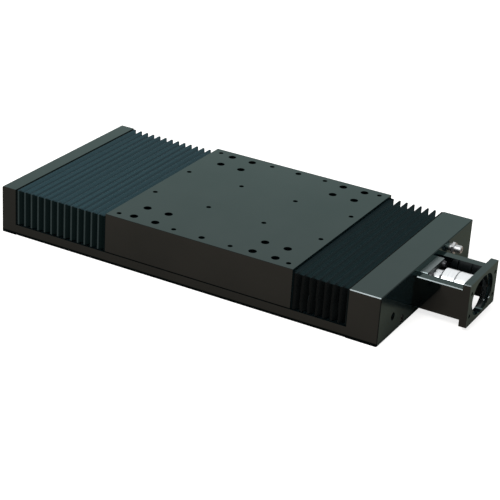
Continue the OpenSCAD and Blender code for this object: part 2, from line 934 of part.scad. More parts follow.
// Clamp hub from x0 to x0 + hub_len; face is +1 where the disc is on its +X side
module coupling_hub(x0, bore_d, face) {
    disc_face = face > 0 ? x0 + hub_len : x0;
    outer_face = face > 0 ? x0 : x0 + hub_len;
    clamp_x = outer_face + face * clamp_end;
    translate([0, 0, axis_z])
        difference() {
            rotate([0, 90, 0])
                rotate_extrude()
                    polygon([
                        [bore_d / 2, x0], [coupling_d / 2 - hub_edge, x0], [coupling_d / 2, x0 + hub_edge],
                        [coupling_d / 2, x0 + hub_len - hub_edge], [coupling_d / 2 - hub_edge, x0 + hub_len],
                        [bore_d / 2, x0 + hub_len]
                    ]);
            translate([outer_face - face * past, -slit_w / 2, -coupling_d])
                mirror([face > 0 ? 0 : 1, 0, 0])
                    cube([hub_len * 0.62 + past, slit_w, coupling_d]);
            translate([clamp_x, clamp_seat_y, -clamp_offset])
                rotate([-90, 0, 0])
                    cap_hole(clamp_screw_d, clamp_screw_len + past, coupling_d);
            for (q = [0:3])
                rotate([45 + 90 * q, 0, 0])
                    translate([disc_face, disc_screw_r, 0])
                        rotate([0, 90, 0])
                            cylinder(
                                d = (q % 2 == 0) == (face > 0) ? disc_screw_d + screw_play
                                                               : head_d(disc_screw_d) + head_play / 2,
                                h = 2 * (disc_screw_d + 1), center = true
                            );
        }
}

module coupling_hub_screw() color(bright_alloy) {
    coupling_hub(hub_a_x, screw_end_d, 1);
}

module coupling_hub_motor() color(bright_alloy) {
    coupling_hub(hub_b_x, motor_shaft_d, -1);
}

module coupling_disc() color(steel) {
    mid = hub_b_x - hub_gap / 2;
    difference() {
        union() {
            ring(mid - disc_t / 2, mid + disc_t / 2, coupling_d - 2, coupling_d / 2);
            for (q = [0:3])
                translate([0, 0, axis_z])
                    rotate([45 + 90 * q, 0, 0])
                        translate([0, disc_screw_r, 0])
                            bar(
                                q % 2 == 0 ? mid - hub_gap / 2 : mid - disc_t / 2,
                                q % 2 == 0 ? mid + disc_t / 2 : mid + hub_gap / 2,
                                head_d(disc_screw_d)
                            );
        }
        for (q = [0:3])
            translate([0, 0, axis_z])
                rotate([45 + 90 * q, 0, 0])
                    translate([0, disc_screw_r, 0])
                        bar(mid - 2, mid + 2, disc_screw_d + screw_play);
    }
}

module coupling_disc_screws() color(dark_steel) {
    mid = hub_b_x - hub_gap / 2;
    for (q = [0:3])
        translate([0, 0, axis_z])
            rotate([45 + 90 * q, 0, 0])
                translate([q % 2 == 0 ? mid + disc_t / 2 : mid - disc_t / 2, disc_screw_r, 0])
                    facing_out(q % 2 == 0 ? 1 : -1)
                        cap_screw(disc_screw_d, disc_screw_d + hub_gap);
}

module coupling_clamp_screws() color(dark_steel) {
    for (x = [hub_a_x + clamp_end, hub_b_x + hub_len - clamp_end])
        translate([x, clamp_seat_y, axis_z - clamp_offset])
            rotate([-90, 0, 0])
                cap_screw(clamp_screw_d, clamp_screw_len);
}

// ---------------------------------------------------------------- table and guide blocks

module table() color(anodised) {
    half = module_w / 2;
    skirt_z = base_t + skirt_gap;
    difference() {
        along_x(table_x0, table_x1)
            polygon([
                [-half, skirt_z], [-half + skirt_t, skirt_z], [-half + skirt_t, block_z],
                [half - skirt_t, block_z], [half - skirt_t, skirt_z], [half, skirt_z],
                [half, table_z - edge_break / 2], [half - edge_break / 2, table_z],
                [-half + edge_break / 2, table_z], [-half, table_z - edge_break / 2]
            ]);
        at_table_taps()
            translate([0, 0, -past])
                cylinder(d = table_tap_d, h = table_t + 2 * past);
        for (side = [-1, 1])
            translate([table_pos, side * (half - hole_inset), block_z - past])
                cylinder(d = middle_tap_d, h = table_t + 2 * past);
        at_block_screws()
            union() {
                cap_hole(guide_screw_d, table_t, 0);
                cylinder(
                    d = head_d(guide_screw_d) + table_head_play,
                    h = guide_screw_d + table_head_sink + past
                );
            }
        translate([nut_face - nut_len - room, -nut_bracket_wing, block_z - past])
            cube([nut_len + room, 2 * nut_bracket_wing, nut_bracket_top - block_z + past]);
        translate([nut_face, -nut_flange_d / 2 - room, block_z - past])
            cube([nut_flange_room, nut_flange_d + 2 * room, axis_z + nut_flats / 2 + room - block_z + past]);
        at_nut_bracket_screws()
            cap_hole(nut_screw_d, nut_bracket_screw_len + past, 0);
        at_frame_screws(table_x0 - frame_t, -1)
            flat_hole(frame_screw_d, frame_grip + frame_t);
        at_frame_screws(table_x1 + frame_t, 1)
            flat_hole(frame_screw_d, frame_grip + frame_t);
    }
}

module table_screws() color(dark_steel) {
    at_block_screws()
        cap_screw(guide_screw_d, table_t - table_screw_rest);
}

// Outline of a guide block, drawn in from its sides by inset, with the channel for the rail
module block_outline(inset) {
    half = block_w / 2 - inset;
    difference() {
        polygon([
            [-half, block_bottom + inset], [half, block_bottom + inset],
            [half, block_z - inset - block_edge], [half - block_edge, block_z - inset],
            [-half + block_edge, block_z - inset], [-half, block_z - inset - block_edge]
        ]);
        translate([0, base_t])
            rail_outline(rail_play);
    }
}

module guide_block(end, side) color(steel) {
    difference() {
        translate([table_pos + end * block_spread / 2, side * rail_y, 0])
            along_x(-block_len / 2, block_len / 2)
                block_outline(0);
        at_block_screws()
            cap_hole(guide_screw_d, table_t - table_screw_rest + past / 2, 0);
    }
}

module guide_block_near_idle() guide_block(-1, -1);

module guide_block_near_motor() guide_block(1, -1);

module guide_block_far_idle() guide_block(-1, 1);

module guide_block_far_motor() guide_block(1, 1);

module guide_end_caps() color(plastic_green) {
    at_blocks()
        for (end = [0, 1])
            mirror([end, 0, 0])
                along_x(block_len / 2, block_len / 2 + cap_len)
                    block_outline(cap_inset);
}

module guide_seals() color(rubber_black) {
    at_blocks()
        for (end = [0, 1])
            mirror([end, 0, 0])
                along_x(block_len / 2 + cap_len, block_len / 2 + cap_len + seal_t)
                    block_outline(seal_inset);
}

module grease_nipples() color(steel) {
    x = block_len / 2 + cap_len + seal_t;
    for (end = [-1, 1], side = [-1, 1])
        translate([table_pos + end * block_spread / 2, side * rail_y, (base_t + rail_h + block_z) / 2])
            rotate([0, 0, end > 0 ? 0 : 180])
                translate([x, 0, 0])
                    rotate([0, 90, 0]) {
                        cylinder(d = nipple_hex / cos(30), h = nipple_t, $fn = 6);
                        translate([0, 0, nipple_t])
                            cylinder(d1 = nipple_neck + part_gap, d2 = nipple_neck, h = nipple_ball / 2);
                        translate([0, 0, nipple_t + nipple_ball / 2])
                            sphere(d = nipple_ball, $fn = 24);
                    }
}

// ---------------------------------------------------------------- ball nut

module nut_bracket() color(anodised) {
    difference() {
        along_x(table_pos - nut_bracket_len / 2, nut_face)
            polygon([
                [-nut_bracket_waist, nut_bracket_bottom], [nut_bracket_waist, nut_bracket_bottom],
                [nut_bracket_waist, wing_z], [nut_bracket_wing, wing_z],
                [nut_bracket_wing, nut_bracket_top], [-nut_bracket_wing, nut_bracket_top],
                [-nut_bracket_wing, wing_z], [-nut_bracket_waist, wing_z]
            ]);
        shaft(table_pos - nut_bracket_len, nut_face + past, nut_d);
        at_nut_bracket_screws()
            cap_hole(nut_screw_d, nut_bracket_screw_len, 0);
        at_nut_screws()
            cap_hole(nut_screw_d, nut_flange_t + nut_screw_grip + past, 0);
    }
}

module nut_bracket_screws() color(dark_steel) {
    at_nut_bracket_screws()
        cap_screw(nut_screw_d, nut_bracket_screw_len);
}

module ball_nut() color(steel) {
    end_x = nut_face + nut_flange_t;
    difference() {
        union() {
            shaft(end_x - nut_len, nut_face, nut_d);
            intersection() {
                shaft(nut_face, end_x, nut_flange_d);
                translate([nut_face, -nut_flange_d / 2, axis_z - nut_flats / 2])
                    cube([nut_flange_t, nut_flange_d, nut_flats]);
            }
        }
        shaft(end_x - nut_len - past, end_x + past, screw_d + 2 * running_play);
        for (x = [end_x - wiper_t, end_x - nut_len - past])
            shaft(x, x + wiper_t + past, screw_d + 2 * wiper_h);
        at_nut_screws()
            cap_hole(nut_screw_d, nut_flange_t + past, 0);
    }
}

module nut_wipers() color(rubber_black) {
    end_x = nut_face + nut_flange_t;
    for (x = [end_x - wiper_t, end_x - nut_len])
        ring(x, x + wiper_t, screw_d + 2 * wiper_h, screw_d + 2 * part_gap);
}

module nut_screws() color(dark_steel) {
    at_nut_screws()
        cap_screw(nut_screw_d, nut_flange_t + nut_screw_grip);
}

// ---------------------------------------------------------------- covers

// Portal frame at the end of a folded cover
module cover_frame(x0) color(anodised) {
    inner = cover_half - frame_band;
    along_x(x0, x0 + frame_t)
        polygon([
            [-cover_half, cover_bottom], [-cover_half, cover_top], [cover_half, cover_top],
            [cover_half, cover_bottom], [inner, cover_bottom], [inner, cover_top - frame_band],
            [-inner, cover_top - frame_band], [-inner, cover_bottom]
        ]);
}

module bellows_frame_idle_fixed() difference() {
    cover_frame(idle_in);
    at_frame_screws(idle_in + frame_t, 1)
        flat_hole(frame_screw_d, frame_grip);
}

module bellows_frame_motor_fixed() difference() {
    cover_frame(motor_in - frame_t);
    at_frame_screws(motor_in - frame_t, -1)
        flat_hole(frame_screw_d, frame_grip);
}

module bellows_frame_idle_moving() difference() {
    cover_frame(table_x0 - frame_t);
    at_frame_screws(table_x0 - frame_t, -1)
        flat_hole(frame_screw_d, frame_grip);
}

module bellows_frame_motor_moving() difference() {
    cover_frame(table_x1);
    at_frame_screws(table_x1 + frame_t, 1)
        flat_hole(frame_screw_d, frame_grip);
}

module fixed_frame_screws() color(dark_steel) {
    at_frame_screws(idle_in + frame_t, 1)
        flat_screw(frame_screw_d, frame_grip + frame_t - past);
    at_frame_screws(motor_in - frame_t, -1)
        flat_screw(frame_screw_d, frame_grip + frame_t - past);
}

module moving_frame_screws() color(dark_steel) {
    at_frame_screws(table_x0 - frame_t, -1)
        flat_screw(frame_screw_d, frame_grip + frame_t - past);
    at_frame_screws(table_x1 + frame_t, 1)
        flat_screw(frame_screw_d, frame_grip + frame_t - past);
}

// One section of the cover at x: a portal whose skin is drawn in by inset at the sides and
// less on top, with mitred corners
function portal(x, inset) =
    let (
        h = cover_half - inset,
        t = cover_top - inset * fold_top_share,
        hi = h - fold_wall,
        ti = t - fold_wall
    )
    [
        [x, -h, cover_bottom], [x, -h, t], [x, h, t], [x, h, cover_bottom],
        [x, hi, cover_bottom], [x, hi, ti], [x, -hi, ti], [x, -hi, cover_bottom]
    ];

// Folded cover from x0 to x1: each fold starts with a narrow flat crest, falls to a sharp
// valley and rises to the next crest
module bellows(x0, x1, folds, depth) color(cover_cloth) {
    pitch = (x1 - x0) / folds;
    valley = (1 + fold_crest) / 2;
    stations = concat(
        [for (k = [0:folds - 1], s = [0, fold_crest, valley])
            [x0 + (k + s) * pitch, s == valley ? depth : 0]],
        [[x1, 0]]
    );
    n = len(stations);
    corners = 8;
    points = [for (s = stations) each portal(s[0], s[1])];
    sides = [for (i = [0:n - 2], j = [0:corners - 1])
        let (a = i * corners + j, b = i * corners + (j + 1) % corners)
        [a, b, b + corners, a + corners]];
    last = (n - 1) * corners;
    start = [for (j = [0:2]) [7 - j, 6 - j, j + 1, j]];
    end = [for (j = [0:2]) [last + j, last + j + 1, last + 6 - j, last + 7 - j]];
    polyhedron(points = points, faces = concat(sides, start, end));
}

module bellows_idle() {
    bellows(idle_in + frame_t + part_gap, table_x0 - frame_t - part_gap, folds_idle, fold_depth_idle);
}

module bellows_motor() {
    bellows(table_x1 + frame_t + part_gap, motor_in - frame_t - part_gap, folds_motor, fold_depth);
}

// ---------------------------------------------------------------- nodes

base_plate();
rail_near();
rail_far();
rail_screws();
rail_hole_caps();
idle_end_plate();
idle_end_screws();
idle_bearing_outer_ring();
idle_bearing_cap();
idle_cap_screws();
motor_end_block();
motor_end_screws();
thrust_bearing_outer_rings();
bearing_retainer();
retainer_screws();
screw_seal();
motor_bracket();
bracket_screws();
lubrication_fitting();
bellows_frame_idle_fixed();
bellows_frame_motor_fixed();
fixed_frame_screws();
bellows_idle();
bellows_motor();
ball_screw();
idle_bearing_inner_ring();
idle_bearing_balls();
idle_circlip();
thrust_bearing_inner_rings();
thrust_bearing_balls();
bearing_spacer();
lock_nut();
lock_collar();
coupling_hub_screw();
coupling_disc();
coupling_hub_motor();
coupling_disc_screws();
coupling_clamp_screws();
table();
table_screws();
guide_block_near_idle();
guide_block_near_motor();
guide_block_far_idle();
guide_block_far_motor();
guide_end_caps();
guide_seals();
grease_nipples();
nut_bracket();
nut_bracket_screws();
ball_nut();
nut_screws();
nut_wipers();
bellows_frame_idle_moving();
bellows_frame_motor_moving();
moving_frame_screws();
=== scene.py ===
"""Looks of a ball screw linear module: black anodised plates, two folded bellows, a bright
coupling in an open housing. Lengths are in metres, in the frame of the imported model."""

import functools
import math

import bmesh
import bpy
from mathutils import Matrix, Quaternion, Vector, noise as field


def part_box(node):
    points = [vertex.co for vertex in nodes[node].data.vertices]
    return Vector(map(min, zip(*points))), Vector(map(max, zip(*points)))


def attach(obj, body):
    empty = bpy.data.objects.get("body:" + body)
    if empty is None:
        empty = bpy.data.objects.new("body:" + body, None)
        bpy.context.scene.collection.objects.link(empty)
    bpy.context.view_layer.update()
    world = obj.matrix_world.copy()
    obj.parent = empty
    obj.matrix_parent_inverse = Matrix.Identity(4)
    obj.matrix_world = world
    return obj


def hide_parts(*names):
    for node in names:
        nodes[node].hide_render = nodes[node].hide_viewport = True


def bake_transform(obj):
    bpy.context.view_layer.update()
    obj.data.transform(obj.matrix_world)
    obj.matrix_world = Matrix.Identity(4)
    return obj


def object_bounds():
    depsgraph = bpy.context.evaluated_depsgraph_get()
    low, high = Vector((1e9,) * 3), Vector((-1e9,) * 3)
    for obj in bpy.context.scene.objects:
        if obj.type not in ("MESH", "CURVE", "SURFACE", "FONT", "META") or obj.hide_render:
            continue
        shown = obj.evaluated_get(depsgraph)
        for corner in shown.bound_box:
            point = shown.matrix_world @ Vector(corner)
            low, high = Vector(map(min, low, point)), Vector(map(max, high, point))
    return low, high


MM = 0.001
HAIR = 0.01 * MM  # below this two places are the same
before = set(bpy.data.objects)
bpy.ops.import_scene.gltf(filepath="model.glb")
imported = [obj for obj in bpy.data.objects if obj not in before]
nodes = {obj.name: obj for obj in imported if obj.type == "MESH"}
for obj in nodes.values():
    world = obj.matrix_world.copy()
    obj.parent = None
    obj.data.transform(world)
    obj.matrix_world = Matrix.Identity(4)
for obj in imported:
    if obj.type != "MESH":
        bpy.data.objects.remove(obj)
cad_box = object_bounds()


# ---------------------------------------------------------------- shader helpers


def object_place(tree):
    """Object coordinates, which are the frame's own on every piece."""
    return tree.nodes.new("ShaderNodeTexCoord").outputs["Object"]


def new_material(name, color, roughness, **sockets):
    """A Principled material, and its tree, shader and Object coordinates."""
    material = bpy.data.materials.new(name)
    material.use_nodes = True
    tree = material.node_tree
    shader = tree.nodes["Principled BSDF"]
    shader.inputs["Base Color"].default_value = (*color, 1)
    shader.inputs["Roughness"].default_value = roughness
    for key, value in sockets.items():
        shader.inputs[key.replace("_", " ")].default_value = value
    return material, tree, shader, object_place(tree)


def noise(tree, place, scale, detail=4.0, stretch=(1, 1, 1)):
    """Value of a noise over the surface, drawn out along an axis where stretch is below 1."""
    mapping = tree.nodes.new("ShaderNodeMapping")
    mapping.inputs["Scale"].default_value = stretch
    tree.links.new(place, mapping.inputs["Vector"])
    texture = tree.nodes.new("ShaderNodeTexNoise")
    texture.inputs["Scale"].default_value = scale
    texture.inputs["Detail"].default_value = detail
    tree.links.new(mapping.outputs["Vector"], texture.inputs["Vector"])
    return texture.outputs["Fac"]


def ranged(tree, value, low, high):
    """The value, which runs from 0 to 1, moved into a range."""
    node = tree.nodes.new("ShaderNodeMapRange")
    node.inputs["To Min"].default_value = low
    node.inputs["To Max"].default_value = high
    tree.links.new(value, node.inputs["Value"])
    return node.outputs["Result"]


def windowed(tree, value, start, end):
    """Share from 0 to 1 of the way of the value from start to end."""
    node = tree.nodes.new("ShaderNodeMapRange")
    node.inputs["From Min"].default_value = start
    node.inputs["From Max"].default_value = end
    tree.links.new(value, node.inputs["Value"])
    return node.outputs["Result"]


def axis_of(tree, vector, axis):
    """The part of a vector along X, Y or Z."""
    parts = tree.nodes.new("ShaderNodeSeparateXYZ")
    tree.links.new(vector, parts.inputs[0])
    return parts.outputs[axis]


def combined(tree, operation, *values):
    """One or two values put through a mathematical operation."""
    node = tree.nodes.new("ShaderNodeMath")
    node.operation = operation
    for value, socket in zip(values, node.inputs):
        tree.links.new(value, socket)
    return node.outputs[0]


def vary_color(tree, shader, value, dark, light):
    """Base colour between two tones, which it reaches before the ends of the value's range."""
    ramp = tree.nodes.new("ShaderNodeValToRGB")
    ramp.color_ramp.elements[0].position = 0.3
    ramp.color_ramp.elements[1].position = 0.7
    ramp.color_ramp.elements[0].color = (*dark, 1)
    ramp.color_ramp.elements[1].color = (*light, 1)
    tree.links.new(value, ramp.inputs["Fac"])
    tree.links.new(ramp.outputs["Color"], shader.inputs["Base Color"])


def darken(tree, shader, amount, rest):
    """The base colour times a share that falls from 1 to rest as the amount rises to 1."""
    color = shader.inputs["Base Color"].links[0].from_socket
    share = ranged(tree, amount, 1, rest)
    multiply = tree.nodes.new("ShaderNodeVectorMath")
    multiply.operation = "SCALE"
    tree.links.new(color, multiply.inputs[0])
    tree.links.new(share, multiply.inputs["Scale"])
    tree.links.new(multiply.outputs[0], shader.inputs["Base Color"])


def facing(tree, axis):
    """Share to which a surface faces along an axis, either way: 1 where it is square to it."""
    normal = tree.nodes.new("ShaderNodeNewGeometry").outputs["True Normal"]
    return combined(tree, "ABSOLUTE", axis_of(tree, normal, axis))


def broken_edges(tree):
    """1 on the flats of broken edges, which face none of the three axes, and 0 elsewhere."""
    most = facing(tree, "X")
    for axis in ("Y", "Z"):
        most = combined(tree, "MAXIMUM", most, facing(tree, axis))
    return windowed(tree, most, 0.95, 0.8)


def bump(tree, shader, height, strength, distance):
    """Fine relief of the surface, raised where the height is near 1."""
    node = tree.nodes.new("ShaderNodeBump")
    node.inputs["Strength"].default_value = strength
    node.inputs["Distance"].default_value = distance
    tree.links.new(height, node.inputs["Height"])
    tree.links.new(node.outputs["Normal"], shader.inputs["Normal"])


# ---------------------------------------------------------------- finishes

BASE_FOOT = 3 * MM  # shaded height of the base and the end pieces, from the floor
TABLE_FOOT = 0.25 * MM  # shaded height of the table, from its underside
SHADED = 0.05  # share of its tone that a shaded surface keeps


def anodised_black(name, foot):
    """Black anodised aluminium: a sealed skin that mirrors darkly, over a fine grain, and is
    shaded below the height of its foot. The specular tint keeps flat angles from going
    white."""
    material, tree, shader, place = new_material(
        name,
        (0.041, 0.045, 0.045),
        0.06,
        Metallic=1.0,
        Specular_Tint=(0.665, 0.775, 0.745, 1),
        Sheen_Weight=0.035,
        Sheen_Tint=(0.4, 0.85, 1, 1),
    )
    cloud = noise(tree, place, 14)
    vary_color(tree, shader, cloud, (0.038, 0.042, 0.042), (0.044, 0.048, 0.048))
    darken(tree, shader, broken_edges(tree), 0.35)
    below = windowed(tree, axis_of(tree, place, "Z"), foot + 0.6 * MM, foot)
    darken(tree, shader, below, SHADED)
    smear = noise(tree, place, 40, 6)
    tree.links.new(ranged(tree, smear, 0.04, 0.09), shader.inputs["Roughness"])
    grain = noise(tree, place, 2600, 2)
    bump(tree, shader, grain, 0.05, 0.00002)
    return material


def anodised_table():
    """The same skin on the table, with painted shade in the bores from just under their mouths.
    """
    low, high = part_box("table")
    material = anodised_black("anodised_table", low.z + TABLE_FOOT)
    tree = material.node_tree
    place = object_place(tree)
    # painted shade: darker below the top's surface and away from its four sides, where the bores
    # are
    inside = windowed(tree, axis_of(tree, place, "Z"), high.z - 0.1 * MM, high.z - 0.4 * MM)
    for axis, least, most in (("X", low.x, high.x), ("Y", low.y, high.y)):
        along = axis_of(tree, place, axis)
        for side, inward in ((least, 1), (most, -1)):
            within = windowed(tree, along, side + inward * 1 * MM, side + inward * 1.3 * MM)
            inside = combined(tree, "MULTIPLY", inside, within)
    darken(tree, tree.nodes["Principled BSDF"], inside, SHADED)
    return material


def tapped_black():
    """Threads cut through the skin's surface, near black as painted shade in the holes."""
    material, tree, shader, place = new_material(
        "tapped_black", (0.001, 0.007, 0.006), 0.6, Specular_IOR_Level=0
    )
    swarf = noise(tree, place, 900, 3)
    vary_color(tree, shader, swarf, (0.0005, 0.005, 0.004), (0.0015, 0.009, 0.0075))
    bump(tree, shader, swarf, 0.2, 0.00003)
    return material


def matt_black():
    """Unpolished black anodising on the frames that hold the bellows."""
    material, tree, shader, place = new_material(
        "matt_black", (0.002, 0.004, 0.004), 0.7, Specular_IOR_Level=0.02
    )
    grain = noise(tree, place, 1800, 3)
    vary_color(tree, shader, grain, (0.0015, 0.003, 0.003), (0.0035, 0.0055, 0.0055))
    bump(tree, shader, grain, 0.2, 0.00003)
    return material


def turned_alloy(name, tone, roughness, metallic=1.0):
    """Bright alloy turned on a lathe about the screw's axis: fine rings and soft streaks."""
    material, tree, shader, place = new_material(name, tone, roughness, Metallic=metallic)
    streaks = noise(tree, place, 900, 3, stretch=(1, 0.05, 0.05))
    vary_color(tree, shader, streaks, tuple(0.9 * c for c in tone), tone)
    dullness = ranged(tree, streaks, roughness - 0.06, roughness + 0.08)
    tree.links.new(dullness, shader.inputs["Roughness"])
    bump(tree, shader, streaks, 0.15, 0.00003)
    return material


def retainer_alloy():
    """Milled alloy of the bearing retainer, with painted shade on the ends of its bore, which
    face along X.
    """
    material = turned_alloy("retainer_alloy", (0.19, 0.225, 0.225), 0.45)
    tree = material.node_tree
    # painted shade on the faces that look along X
    ends = windowed(tree, facing(tree, "X"), 0.7, 0.9)
    darken(tree, tree.nodes["Principled BSDF"], ends, 0.35)
    return material


def ground_steel():
    """Rails, guide blocks, screw and nut, ground along the travel."""
    material, tree, shader, place = new_material(
        "ground_steel", (0.56, 0.57, 0.58), 0.28, Metallic=1.0
    )
    grain = noise(tree, place, 1400, 3, stretch=(0.04, 1, 1))
    vary_color(tree, shader, grain, (0.48, 0.49, 0.5), (0.62, 0.63, 0.64))
    tree.links.new(ranged(tree, grain, 0.2, 0.38), shader.inputs["Roughness"])
    bump(tree, shader, grain, 0.1, 0.00002)
    return material


def bearing_steel():
    """Polished rings and balls of the bearings."""
    material, tree, shader, place = new_material(
        "bearing_steel", (0.68, 0.69, 0.7), 0.12, Metallic=1.0
    )
    haze = noise(tree, place, 300, 3)
    vary_color(tree, shader, haze, (0.63, 0.64, 0.65), (0.72, 0.73, 0.74))
    tree.links.new(ranged(tree, haze, 0.08, 0.18), shader.inputs["Roughness"])
    return material


def black_oxide():
    """Oiled black oxide on screws and nuts."""
    material, tree, shader, place = new_material(
        "black_oxide", (0.03, 0.03, 0.032), 0.35, Metallic=0.6
    )
    blotch = noise(tree, place, 500, 4)
    vary_color(tree, shader, blotch, (0.018, 0.018, 0.02), (0.045, 0.045, 0.048))
    tree.links.new(ranged(tree, blotch, 0.28, 0.45), shader.inputs["Roughness"])
    return material


def moulded_green():
    """Glass filled plastic of the guide blocks' end caps."""
    material, tree, shader, place = new_material(
        "moulded_green", (0.02, 0.11, 0.06), 0.45
    )
    pits = noise(tree, place, 1100, 3)
    vary_color(tree, shader, pits, (0.016, 0.09, 0.05), (0.024, 0.13, 0.07))
    bump(tree, shader, pits, 0.15, 0.00003)
    return material


def moulded_rubber():
    """Black rubber of seals and wipers."""
    material, tree, shader, place = new_material(
        "moulded_rubber", (0.012, 0.012, 0.012), 0.6, Specular_IOR_Level=0.3
    )
    pits = noise(tree, place, 900, 3)
    vary_color(tree, shader, pits, (0.009, 0.009, 0.009), (0.016, 0.016, 0.016))
    bump(tree, shader, pits, 0.2, 0.00003)
    return material


def shade_hems(tree, shader, place, start, end):
    """Painted shade: darkens a piece towards its two long hems, between two distances from the
    middle.
    """
    off_middle = combined(tree, "ABSOLUTE", axis_of(tree, place, "Y"))
    darken(tree, shader, windowed(tree, off_middle, start, end), 0.2)


def lit_frame_black():
    """Coat of the frames that travel with the table: the fixed frames' black painted lighter, as
    painted light, and darker towards the hems as painted shade.
    """
    material, tree, shader, place = new_material(
        "lit_frame_black", (0.013, 0.022, 0.024), 0.6, Specular_IOR_Level=0
    )
    grain = noise(tree, place, 1800, 3)
    # painted light: a lighter tone than the fixed frames' matt black
    vary_color(tree, shader, grain, (0.011, 0.019, 0.021), (0.014, 0.024, 0.026))
    # painted shade towards the hems
    shade_hems(tree, shader, place, 108 * MM, 113 * MM)
    bump(tree, shader, grain, 0.2, 0.00003)
    return material


def woven_cover(name, warp, weft, sheen, gloss=0.12, height_shade=None, hem_shade=None):
    """Coated cloth of the bellows: a fine plain weave laid along the folds. Its tone falls to
    a rest between two heights, and towards both hems between two half widths, as painted shade."""
    material, tree, shader, place = new_material(
        name,
        weft,
        0.6,
        Specular_IOR_Level=gloss,
        Sheen_Weight=sheen,
        Sheen_Roughness=0.4,
        Sheen_Tint=(0.55, 0.8, 0.95, 1),
    )
    uv = tree.nodes.new("ShaderNodeTexCoord").outputs["UV"]
    threads = []
    for axis in ("X", "Y"):
        wave = tree.nodes.new("ShaderNodeTexWave")
        wave.bands_direction = axis
        wave.inputs["Scale"].default_value = 520
        wave.inputs["Distortion"].default_value = 0.6
        tree.links.new(uv, wave.inputs["Vector"])
        threads.append(wave.outputs["Fac"])
    crossed = combined(tree, "MULTIPLY", *threads)
    vary_color(tree, shader, crossed, weft, warp)
    # painted shade between two heights, and towards the hems
    if height_shade:
        start, end, rest = height_shade
        darken(tree, shader, windowed(tree, axis_of(tree, place, "Z"), start, end), rest)
    if hem_shade:
        shade_hems(tree, shader, place, *hem_shade)
    bump(tree, shader, crossed, 0.25, 0.00008)
    return material


def painted_crest(name, tone, sheen, gloss=0.05):
    """Smooth flat crest of each fold, in a tone of its own set as painted light: a painted
    highlight on the crests of the idle sides, and painted shade on those of the motor bellows.
    """
    material, tree, shader, place = new_material(
        name,
        tone,
        0.55,
        Specular_IOR_Level=gloss,
        Sheen_Weight=sheen,
        Sheen_Tint=(0.6, 0.85, 0.95, 1),
    )
    waviness = noise(tree, place, 90, 3)
    vary_color(tree, shader, waviness, tuple(0.85 * c for c in tone), tone)
    bump(tree, shader, waviness, 0.1, 0.0004)
    return material


ANODISED = anodised_black("anodised_black", BASE_FOOT)
ANODISED_TABLE = anodised_table()
TAPPED = tapped_black()
MATT_BLACK = matt_black()
LIT_FRAME_BLACK = lit_frame_black()
HUB_ALLOY = turned_alloy("hub_alloy", (0.86, 0.87, 0.88), 0.3, metallic=0.3)
RETAINER_ALLOY = retainer_alloy()
FITTING_ALLOY = turned_alloy("fitting_alloy", (0.45, 0.46, 0.46), 0.4)
STEEL = ground_steel()
BEARING = bearing_steel()
OXIDE = black_oxide()
GREEN = moulded_green()
RUBBER = moulded_rubber()

FINISHES = {
    ANODISED: [
        "base_plate", "idle_end_plate", "idle_bearing_cap", "motor_end_block", "motor_bracket",
        "nut_bracket",
    ],
    ANODISED_TABLE: ["table"],
    MATT_BLACK: ["bellows_frame_idle_fixed", "bellows_frame_motor_fixed"],
    LIT_FRAME_BLACK: ["bellows_frame_idle_moving", "bellows_frame_motor_moving"],
    HUB_ALLOY: ["coupling_hub_screw", "coupling_hub_motor", "lock_nut"],
    RETAINER_ALLOY: ["bearing_retainer"],
    FITTING_ALLOY: ["lubrication_fitting"],
    STEEL: [
        "rail_near", "rail_far", "ball_screw", "ball_nut", "guide_block_near_idle",
        "guide_block_near_motor", "guide_block_far_idle", "guide_block_far_motor",
        "coupling_disc", "bearing_spacer", "grease_nipples",
    ],
    BEARING: [
        "idle_bearing_outer_ring", "idle_bearing_inner_ring", "idle_bearing_balls",
        "thrust_bearing_outer_rings", "thrust_bearing_inner_rings", "thrust_bearing_balls",
    ],
    OXIDE: [
        "rail_screws", "idle_end_screws", "idle_cap_screws", "motor_end_screws",
        "bracket_screws", "fixed_frame_screws", "idle_circlip", "lock_collar", "retainer_screws",
        "coupling_disc_screws", "coupling_clamp_screws", "table_screws", "nut_bracket_screws",
        "nut_screws", "moving_frame_screws",
    ],
    GREEN: ["guide_end_caps"],
    RUBBER: ["rail_hole_caps", "screw_seal", "guide_seals", "nut_wipers"],
}


def finish_cad_nodes():
    """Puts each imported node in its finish."""
    for material, names in FINISHES.items():
        for name in names:
            for slot in nodes[name].material_slots:
                slot.material = material


# ---------------------------------------------------------------- meshes


def verts_in(geometry):
    """The vertices among what an operator made."""
    return [part for part in geometry if isinstance(part, bmesh.types.BMVert)]


def object_from(bm, name):
    """Ends a bmesh by making it an object of the scene."""
    mesh = bpy.data.meshes.new(name)
    bm.to_mesh(mesh)
    bm.free()
    made = bpy.data.objects.new(name, mesh)
    bpy.context.scene.collection.objects.link(made)
    return made


# ---------------------------------------------------------------- bellows

COVER_T = 0.8 * MM  # thickness of the cloth with its stiffener
FOLD_ROUND = 0.3 * MM  # set back of the rounding along a fold
CREST_SHARE = 0.22  # of a fold's pitch, taken by its flat crest
TOP_SHARE = 0.55  # of the depth at the sides, for the depth of the folds on top
CREASE_RUNGS = 7  # level edges across each side panel
CREASE_RATE = (95, 75)  # of the wander, along the travel and upwards, per metre
CREASE_FADE = 8 * MM  # height below the shoulder over which the wander grows
SIDE_LAYER = 7  # keeps the wander of the near side apart from that of the far side
SIDE_HEIGHT = 10 * MM  # edges that rise more than this belong to a side panel


